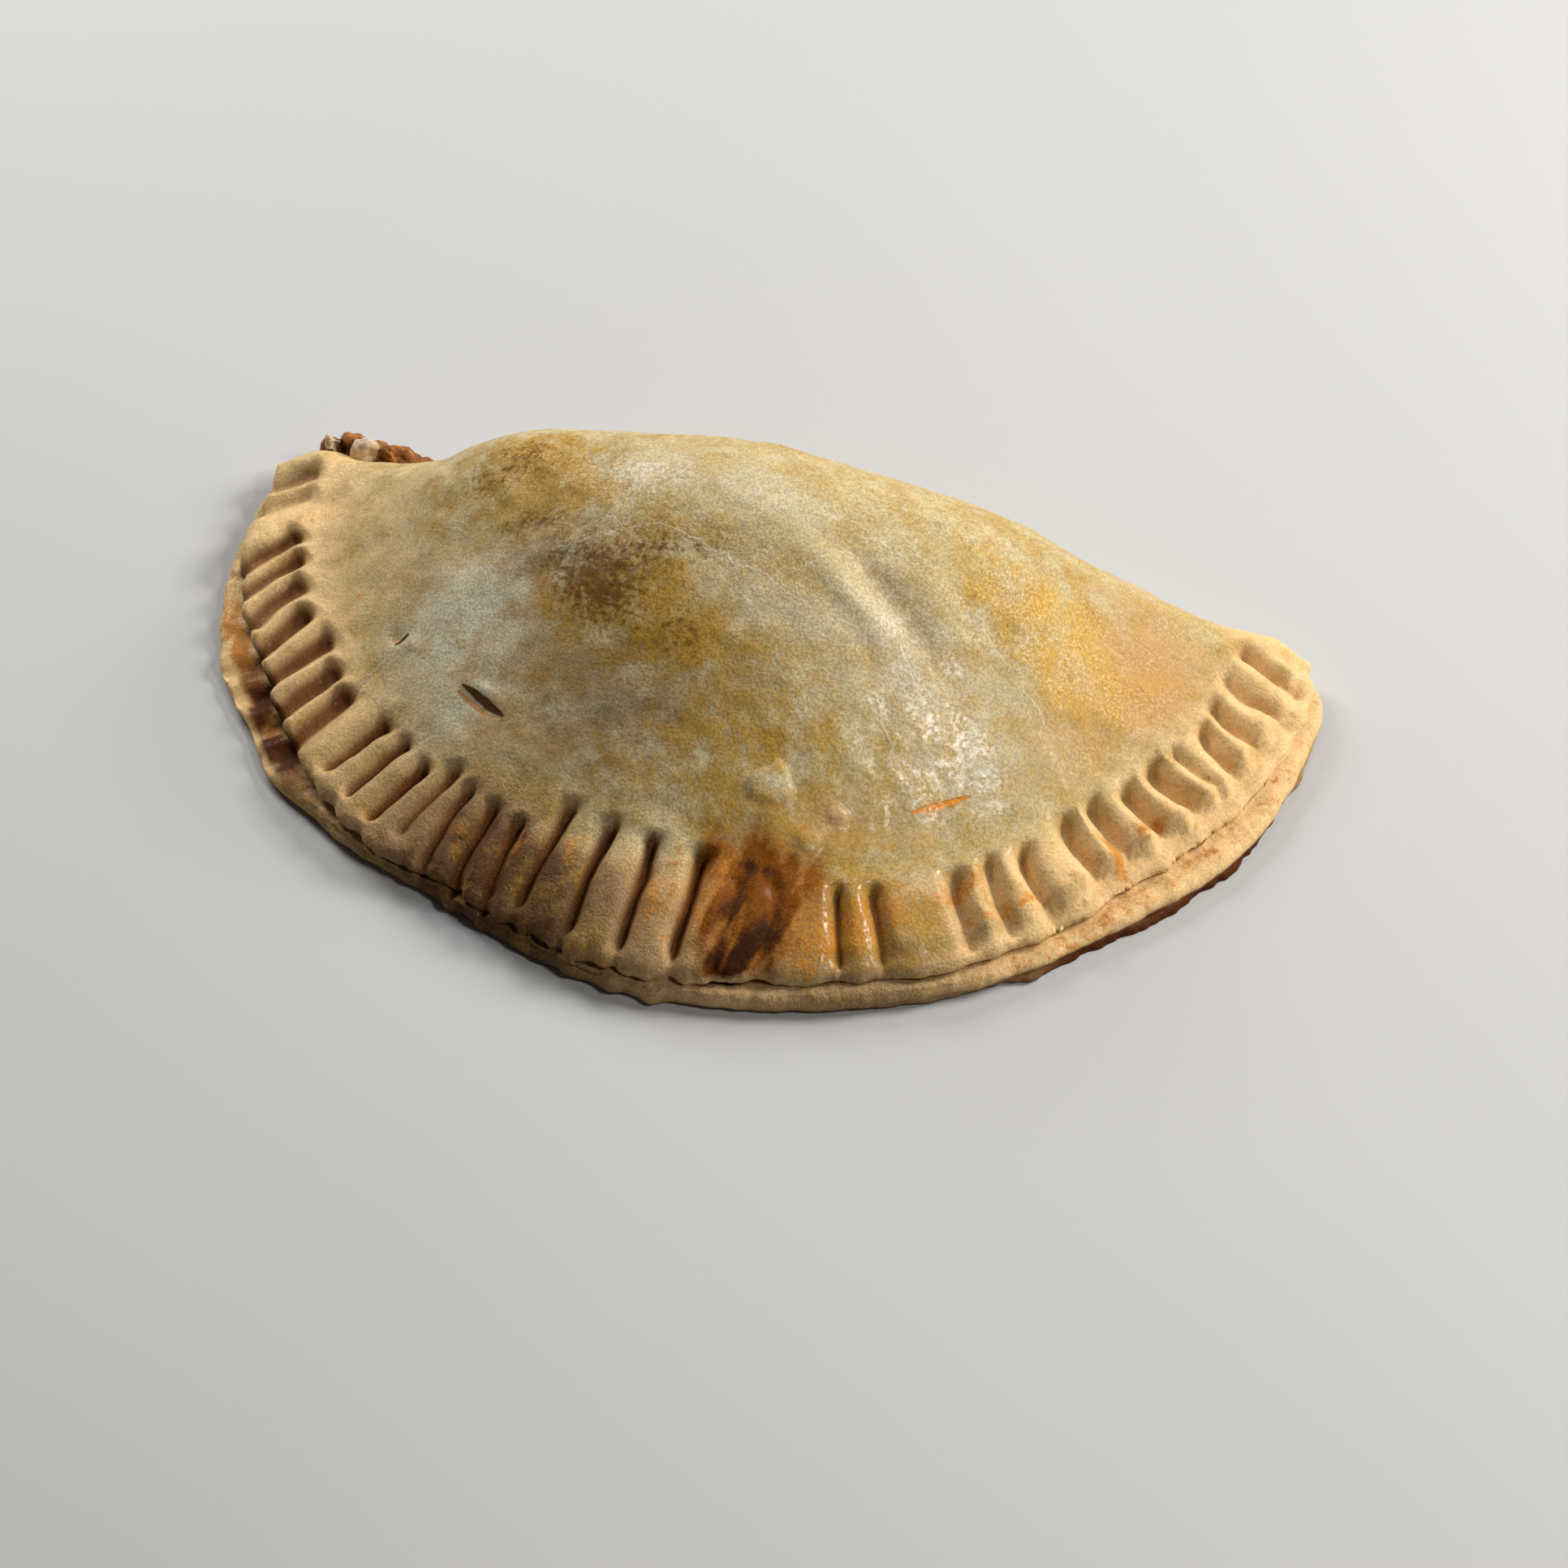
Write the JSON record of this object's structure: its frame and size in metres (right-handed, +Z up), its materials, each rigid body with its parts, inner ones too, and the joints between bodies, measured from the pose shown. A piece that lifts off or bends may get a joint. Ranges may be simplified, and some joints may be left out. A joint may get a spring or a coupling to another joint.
{
  "type": "empanada",
  "caption": "Baked half-moon pastry turnover with a plump filled middle, a fork-crimped rim and filling showing where the fold has burst.",
  "frame": {"origin": "middle of the base, at the bottom centre of the box round the whole empanada", "axes": "+X along the fold towards the right tip, +Y from the crimped rim towards the fold, +Z up from the base"},
  "size_m": [0.161, 0.0894, 0.0368],
  "materials": {
    "pastry": "baked golden crust, satin with an egg-wash sheen",
    "filling": "moist cooked filling, dark orange-brown"
  },
  "bodies": {
    "root": {"pastry": "pastry", "filling": "filling"}
  },
  "joints": []
}
